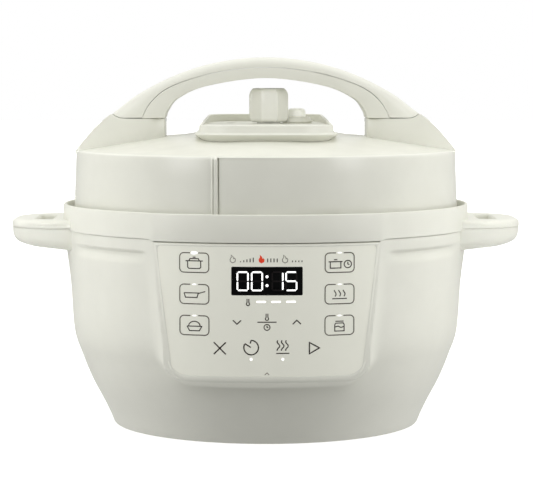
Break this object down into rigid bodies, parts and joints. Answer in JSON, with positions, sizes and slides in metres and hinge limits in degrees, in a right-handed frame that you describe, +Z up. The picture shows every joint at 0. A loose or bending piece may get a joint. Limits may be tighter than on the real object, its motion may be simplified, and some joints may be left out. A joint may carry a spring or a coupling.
{
  "type": "electric pressure cooker",
  "caption": "Electric pressure cooker: round bowl-shaped base with front control panel and side handles, and a domed twist-off lid with an arched handle and a steam valve.",
  "frame": {"origin": "on the lid's turning axis, at the surface the feet stand on", "axes": "+X to the user's right as the panel faces them, -Y out of the control panel, +Z up"},
  "size_m": [0.348, 0.278, 0.2505],
  "materials": {
    "shell": "satin moulded, warm off-white",
    "overlay": "matte printed film",
    "lens": "gloss, dark tinted",
    "steel": "brushed",
    "aluminium": "satin",
    "silicone": "translucent white silicone",
    "board": "solder mask",
    "black_plastic": "satin moulded",
    "foot_rubber": "matte",
    "clear_plastic": "clear, slightly frosted"
  },
  "bodies": {
    "base": {"base_housing": "shell", "top_collar": "shell", "side_handle_under_right": "shell", "side_handle_under_left": "shell", "side_handle_screw_right": "steel", "side_handle_screw_left": "steel", "base_plate": "black_plastic", "foot_1": "foot_rubber", "foot_2": "foot_rubber", "foot_3": "foot_rubber", "foot_4": "foot_rubber", "base_screw_1": "steel", "base_screw_2": "steel", "base_screw_3": "steel", "base_screw_4": "steel", "control_panel_frame": "shell", "control_overlay": "overlay", "display_window": "lens", "display_module": "black_plastic", "key_frame": "black_plastic", "control_board": "board", "outer_pot": "aluminium", "rim_ring": "steel", "heating_plate": "aluminium", "pressure_plate": "steel", "pressure_switch": "black_plastic", "thermal_fuse": "black_plastic", "power_board": "board", "power_inlet": "black_plastic", "lid_switch": "black_plastic", "sensor_spring": "steel"},
    "pot": {"inner_pot": "steel"},
    "sensor": {"temperature_sensor": "aluminium"},
    "cup": {"condensation_cup": "clear_plastic"},
    "seal_ring": {"sealing_ring": "silicone"},
    "lid": {"lid_cover": "shell", "lid_liner": "steel", "lid_magnet": "black_plastic", "ring_rack": "steel", "steam_cover": "shell", "steam_pipe": "steel", "pipe_nut": "steel", "block_shield": "steel", "release_spring": "steel", "lid_handle_top": "shell", "lid_handle_grip": "shell", "lid_handle_screw_right": "steel", "lid_handle_screw_left": "steel"},
    "valve": {"steam_valve": "shell"},
    "button": {"quick_release_button": "shell"},
    "lever": {"release_lever": "black_plastic"},
    "float": {"float_valve": "steel", "float_seal": "silicone"}
  },
  "joints": [
    {"name": "lid_lift", "type": "slide", "parent": "base", "child": "seal_ring", "axis": [0, 0, 1], "range_m": [0, 0.3]},
    {"name": "lid_turn", "type": "hinge", "parent": "seal_ring", "child": "lid", "pos_m": [0, 0, 0.147], "axis": [0, 0, 1], "range_deg": [0, 30]},
    {"name": "pot_lift", "type": "slide", "parent": "base", "child": "pot", "axis": [0, 0, 1], "range_m": [0, 0.15]},
    {"name": "quick_release_press", "type": "slide", "parent": "lid", "child": "button", "axis": [0, 0, -1], "range_m": [0, 0.0025], "stiffness_N_per_m": 900, "springref_m": -0.001, "deforming": ["release_spring"]},
    {"name": "release_lever_rock", "type": "hinge", "parent": "lid", "child": "lever", "pos_m": [0.0115, 0, 0.1905], "axis": [0, 1, 0], "range_deg": [0, 15]},
    {"name": "steam_valve_lift", "type": "slide", "parent": "lid", "child": "valve", "axis": [0, 0, 1], "range_m": [0, 0.0022]},
    {"name": "float_valve_rise", "type": "slide", "parent": "lid", "child": "float", "axis": [0, 0, 1], "range_m": [0, 0.003]},
    {"name": "sensor_press", "type": "slide", "parent": "base", "child": "sensor", "axis": [0, 0, -1], "range_m": [0, 0.003], "stiffness_N_per_m": 600, "springref_m": -0.003, "deforming": ["sensor_spring"]},
    {"name": "cup_pull", "type": "slide", "parent": "base", "child": "cup", "axis": [0, 1, 0], "range_m": [0, 0.05]}
  ],
  "couplings": [
    {"joint": "pot_lift", "follows": "lid_lift", "ratio": 0.5},
    {"joint": "release_lever_rock", "follows": "quick_release_press", "rad_per_m": 104},
    {"joint": "steam_valve_lift", "follows": "quick_release_press", "ratio": 0.88}
  ]
}
